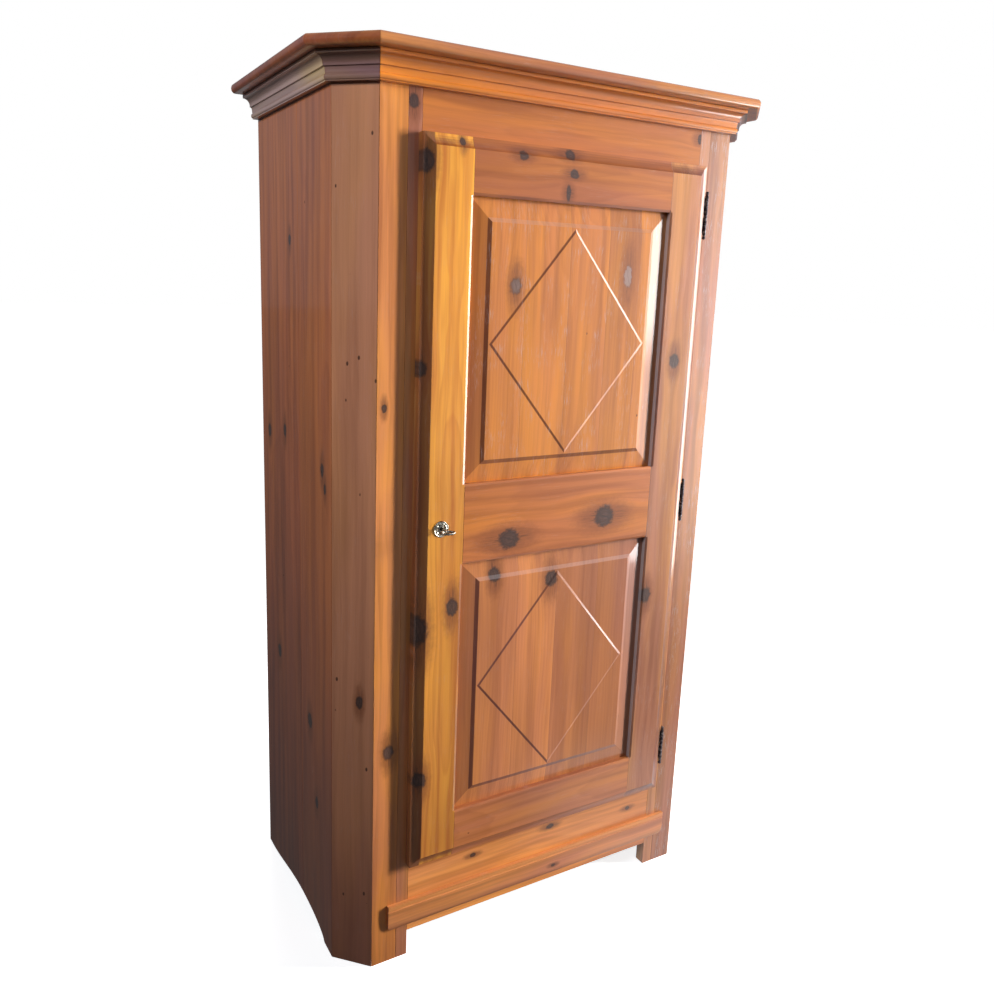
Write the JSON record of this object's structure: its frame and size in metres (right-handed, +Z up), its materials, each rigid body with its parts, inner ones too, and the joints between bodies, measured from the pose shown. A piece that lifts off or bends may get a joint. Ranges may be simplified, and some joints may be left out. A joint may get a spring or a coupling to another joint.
{
  "type": "single-door cupboard",
  "caption": "Tall narrow pine cupboard with cut-off front corners, a mitred cornice, arched side feet and a locking door with raised diamonds on its panels.",
  "frame": {"origin": "on the floor, in the middle of the whole cupboard's width and depth", "axes": "+X to the right as seen from the front, +Y from the front to the back, +Z up"},
  "size_m": [1.08, 0.5904, 1.85],
  "materials": {
    "case_wood": "satin varnish over knotty pine",
    "door_wood": "satin varnish over knotty pine",
    "panel_wood": "satin varnish over knotty pine",
    "moulding_wood": "satin varnish over knotty pine",
    "inside_wood": "plain planed pine",
    "hinge_iron": "dark worn iron",
    "lock_brass": "dull aged brass"
  },
  "bodies": {
    "case": {"stile_left": "case_wood", "stile_right": "case_wood", "cant_board_left": "case_wood", "cant_board_right": "case_wood", "side_front_board_left": "case_wood", "side_front_board_right": "case_wood", "side_rear_board_left": "case_wood", "side_rear_board_right": "case_wood", "floor_cleat_left": "inside_wood", "floor_cleat_right": "inside_wood", "shelf_1_cleat_left": "inside_wood", "shelf_1_cleat_right": "inside_wood", "shelf_2_cleat_left": "inside_wood", "shelf_2_cleat_right": "inside_wood", "shelf_3_cleat_left": "inside_wood", "shelf_3_cleat_right": "inside_wood", "cornice_cant_left": "moulding_wood", "cornice_cant_right": "moulding_wood", "cornice_side_left": "moulding_wood", "cornice_side_right": "moulding_wood", "strip_left": "case_wood", "strip_right": "case_wood", "bottom_rail": "case_wood", "top_rail": "case_wood", "base_moulding": "moulding_wood", "back_board_1": "inside_wood", "back_board_2": "inside_wood", "back_board_3": "inside_wood", "back_board_4": "inside_wood", "back_board_5": "inside_wood", "back_board_6": "inside_wood", "floor_board": "inside_wood", "shelf_1": "inside_wood", "shelf_2": "inside_wood", "shelf_3": "inside_wood", "top_board": "moulding_wood", "cornice_front": "moulding_wood", "keeper_plate": "lock_brass", "hinge_frame_half_top": "hinge_iron", "hinge_frame_half_middle": "hinge_iron", "hinge_frame_half_bottom": "hinge_iron"},
    "door": {"door_stile_left": "door_wood", "door_stile_right": "door_wood", "door_rail_top": "door_wood", "door_rail_middle": "door_wood", "door_rail_bottom": "door_wood", "door_panel_lower": "panel_wood", "door_panel_upper": "panel_wood", "escutcheon": "lock_brass", "lock_case": "lock_brass", "hinge_door_half_top": "hinge_iron", "hinge_door_half_middle": "hinge_iron", "hinge_door_half_bottom": "hinge_iron"},
    "lock_bolt": {"lock_bolt": "lock_brass"},
    "key": {"key": "lock_brass"}
  },
  "joints": [
    {"name": "door_swing", "type": "hinge", "parent": "case", "child": "door", "pos_m": [0.3465, -0.24625, 0.9665], "axis": [0, 0, 1], "range_deg": [0, 170]},
    {"name": "key_turn", "type": "hinge", "parent": "door", "child": "key", "pos_m": [-0.2895, -0.25525, 0.97], "axis": [0, -1, 0], "range_deg": [0, 180]},
    {"name": "bolt_slide", "type": "slide", "parent": "door", "child": "lock_bolt", "axis": [-1, 0, 0], "range_m": [0, 0.012]}
  ],
  "couplings": [
    {"joint": "key_turn", "follows": "bolt_slide", "rad_per_m": 261.8}
  ]
}
